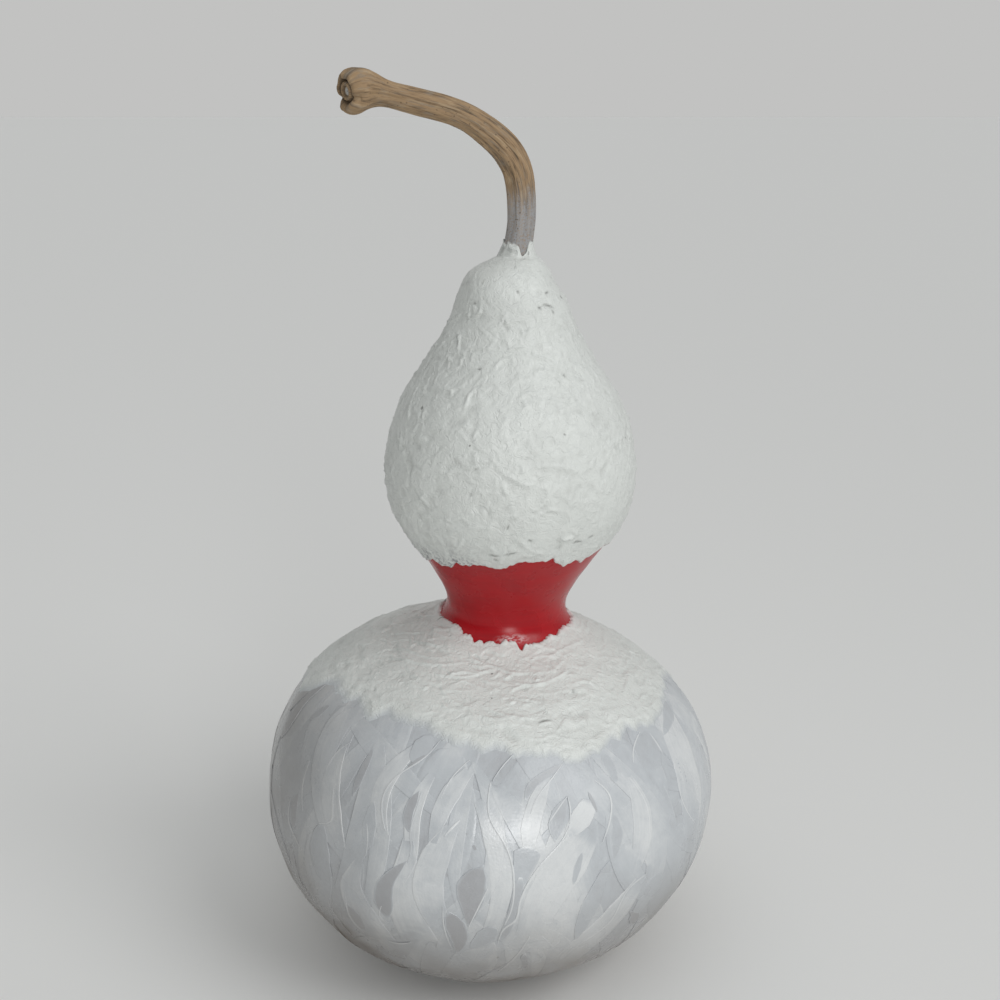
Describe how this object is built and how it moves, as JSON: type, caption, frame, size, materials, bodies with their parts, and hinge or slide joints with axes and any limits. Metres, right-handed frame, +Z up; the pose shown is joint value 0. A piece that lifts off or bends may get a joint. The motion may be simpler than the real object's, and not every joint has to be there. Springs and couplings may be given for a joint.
{
  "type": "painted bottle gourd",
  "caption": "Dried hourglass gourd with a long bent woody stem, standing upright; textured white coats on crown and shoulder, bare painted neck and bowl.",
  "frame": {"origin": "on the flat resting spot at the blossom end, under the lower bulb", "axes": "+Z up from the resting spot to the stem; the stem bends over towards -X; -Y is the side shown in the picture"},
  "size_m": [0.223, 0.2228, 0.4276],
  "materials": {
    "painted_rind": "dried gourd rind under satin brushed paint: white strokes over pale grey on the bowl, gloss dark red on the neck",
    "texture_paste": "trowelled acrylic texture paste, off-white, satin, with ridges and creases",
    "stem_wood": "dry ribbed stem, tan with dark streaks, washed grey near its foot"
  },
  "bodies": {
    "root": {"gourd": "painted_rind", "stem": "stem_wood", "paste_cap": "texture_paste", "paste_collar": "texture_paste"}
  },
  "joints": []
}
